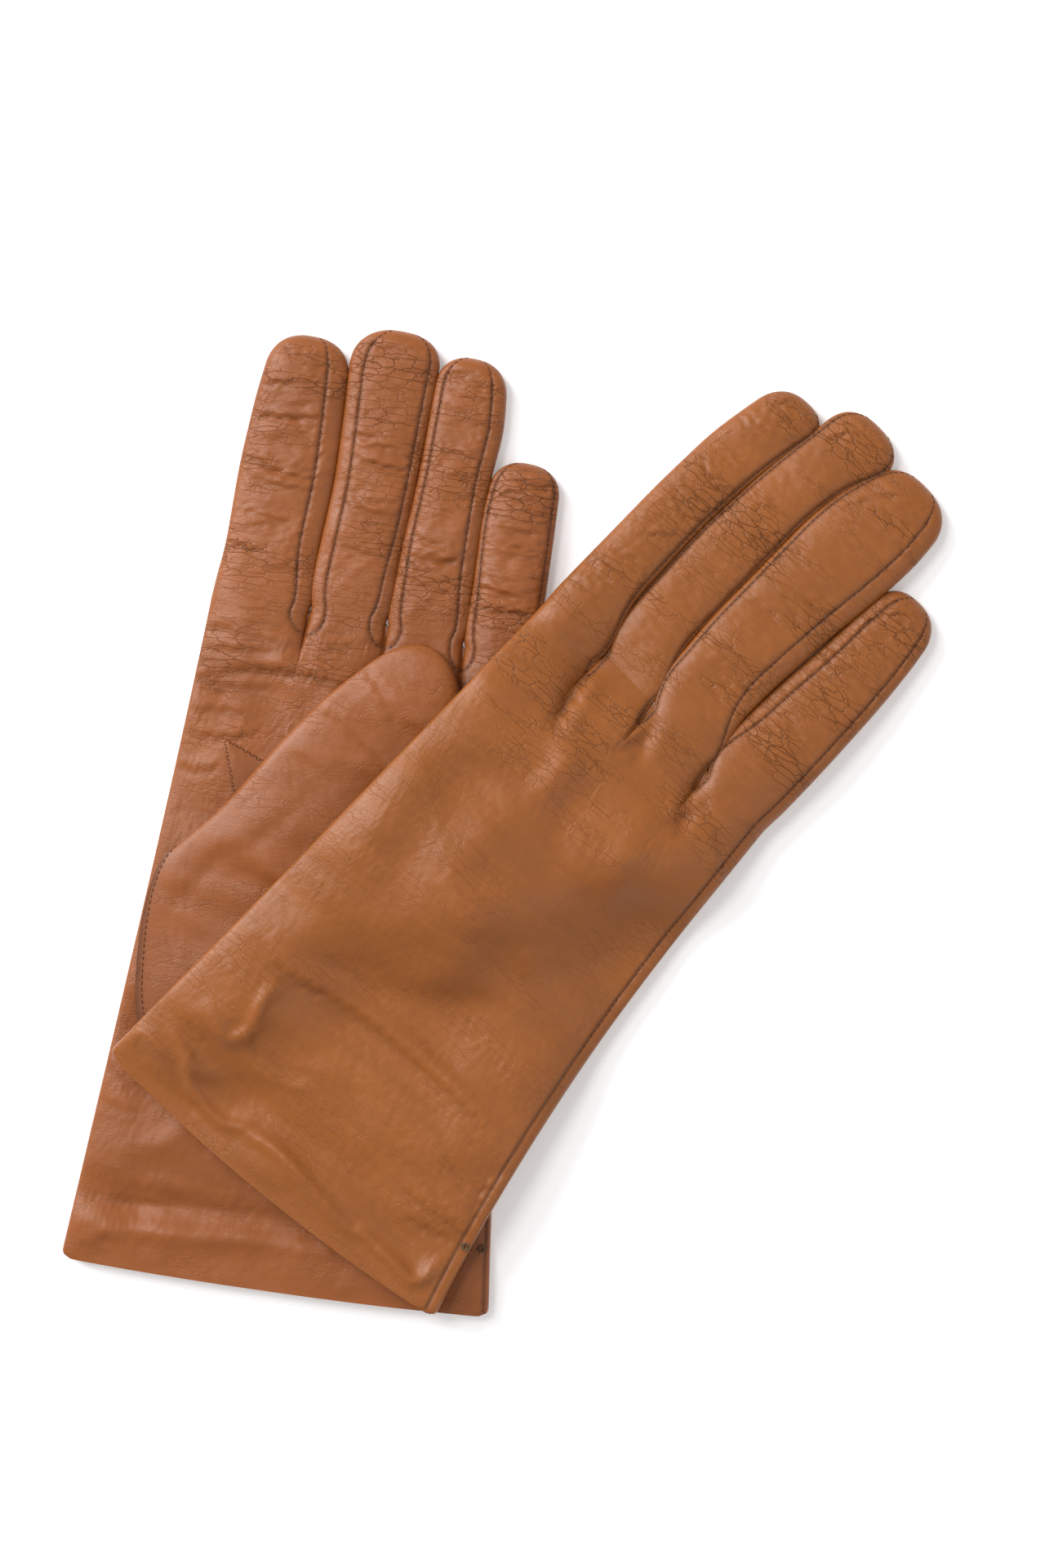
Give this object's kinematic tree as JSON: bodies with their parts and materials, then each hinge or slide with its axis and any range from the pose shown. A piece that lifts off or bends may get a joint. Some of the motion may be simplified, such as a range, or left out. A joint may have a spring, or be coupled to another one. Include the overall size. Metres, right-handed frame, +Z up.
{
  "type": "leather gloves",
  "caption": "Pair of smooth leather dress gloves laid one across the other, one palm up with its thumb folded over, with fourchettes, turned cuffs and sewn seams.",
  "frame": {"origin": "on the table, under the middle of the pair's bounding box", "axes": "+Y towards the fingertips along the pair's longest extent, +X towards the right glove's fingers, +Z up from the table"},
  "size_m": [0.253, 0.2828, 0.0294],
  "materials": {
    "glove_leather": "smooth cognac nappa with a fine grain, soft creases and a low sheen",
    "hem_leather": "turned hem of the same leather, its paler cut edge inside",
    "sewing_thread": "dark brown sewing thread, matt",
    "tack_thread": "olive brown tack thread, matt"
  },
  "bodies": {
    "left_hand": {"left_thumb_quirk": "glove_leather", "left_hand_back": "glove_leather", "left_hand_palm": "glove_leather", "left_cuff_hem": "hem_leather", "left_outseam_thread": "sewing_thread", "left_tack_knot": "tack_thread", "left_thumb_seam_thread": "sewing_thread"},
    "left_index": {"left_index_back": "glove_leather", "left_index_palm": "glove_leather", "left_index_fourchette_outer": "glove_leather"},
    "left_middle": {"left_middle_back": "glove_leather", "left_middle_palm": "glove_leather", "left_middle_fourchette_inner": "glove_leather", "left_middle_fourchette_outer": "glove_leather"},
    "left_ring": {"left_ring_back": "glove_leather", "left_ring_palm": "glove_leather", "left_ring_fourchette_inner": "glove_leather", "left_ring_fourchette_outer": "glove_leather"},
    "left_little": {"left_little_back": "glove_leather", "left_little_palm": "glove_leather", "left_little_fourchette_inner": "glove_leather"},
    "left_thumb": {"left_thumb": "glove_leather"},
    "right_hand": {"right_thumb_quirk": "glove_leather", "right_hand_back": "glove_leather", "right_hand_palm": "glove_leather", "right_cuff_hem": "hem_leather", "right_outseam_thread": "sewing_thread", "right_tack_knot": "tack_thread"},
    "right_index": {"right_index_back": "glove_leather", "right_index_palm": "glove_leather", "right_index_fourchette_outer": "glove_leather"},
    "right_middle": {"right_middle_back": "glove_leather", "right_middle_palm": "glove_leather", "right_middle_fourchette_inner": "glove_leather", "right_middle_fourchette_outer": "glove_leather"},
    "right_ring": {"right_ring_back": "glove_leather", "right_ring_palm": "glove_leather", "right_ring_fourchette_inner": "glove_leather", "right_ring_fourchette_outer": "glove_leather"},
    "right_little": {"right_little_back": "glove_leather", "right_little_palm": "glove_leather", "right_little_fourchette_inner": "glove_leather"},
    "right_thumb": {"right_thumb": "glove_leather"}
  },
  "joints": [
    {"name": "right_glove_lift", "type": "slide", "parent": "left_hand", "child": "right_hand", "axis": [0, 0, 1], "range_m": [0, 0.15]},
    {"name": "left_index_curl", "type": "hinge", "parent": "left_hand", "child": "left_index", "pos_m": [-0.07089, 0.06193, 0.0076], "axis": [0.9826, -0.1857, 0], "range_deg": [0, 80]},
    {"name": "left_middle_curl", "type": "hinge", "parent": "left_hand", "child": "left_middle", "pos_m": [-0.04507, 0.0593, 0.0076], "axis": [0.981, -0.1942, 0], "range_deg": [0, 80]},
    {"name": "left_ring_curl", "type": "hinge", "parent": "left_hand", "child": "left_ring", "pos_m": [-0.02286, 0.05309, 0.0076], "axis": [0.9778, -0.2096, 0], "range_deg": [0, 80]},
    {"name": "left_little_curl", "type": "hinge", "parent": "left_hand", "child": "left_little", "pos_m": [-0.00129, 0.04696, 0.0076], "axis": [0.977, -0.213, 0], "range_deg": [0, 40]},
    {"name": "right_index_fold", "type": "hinge", "parent": "right_hand", "child": "right_index", "pos_m": [0.0183, 0.0536, 0.01598], "axis": [0.7169, -0.6972, 0], "range_deg": [0, 75]},
    {"name": "right_middle_fold", "type": "hinge", "parent": "right_hand", "child": "right_middle", "pos_m": [0.03622, 0.04125, 0.01315], "axis": [0.6921, -0.7218, 0], "range_deg": [0, 75]},
    {"name": "right_ring_fold", "type": "hinge", "parent": "right_hand", "child": "right_ring", "pos_m": [0.0511, 0.02418, 0.01549], "axis": [0.6921, -0.7218, 0], "range_deg": [0, 75]},
    {"name": "right_little_fold", "type": "hinge", "parent": "right_hand", "child": "right_little", "pos_m": [0.06662, 0.00509, 0.01395], "axis": [0.7145, -0.6997, 0], "range_deg": [0, 75]},
    {"name": "left_thumb_rise", "type": "hinge", "parent": "left_hand", "child": "left_thumb", "pos_m": [-0.08821, -0.02915, 0.0151], "axis": [0.7278, -0.6858, 0], "range_deg": [0, 40]},
    {"name": "right_thumb_drop", "type": "hinge", "parent": "right_hand", "child": "right_thumb", "pos_m": [-0.01721, -0.006, 0.01401], "axis": [-0.2588, 0.9659, 0], "range_deg": [0, 40]}
  ],
  "couplings": [
    {"joint": "left_thumb_rise", "follows": "right_glove_lift", "rad_per_m": 4},
    {"joint": "right_thumb_drop", "follows": "right_glove_lift", "rad_per_m": 4},
    {"joint": "left_little_curl", "follows": "right_glove_lift", "rad_per_m": 4}
  ]
}
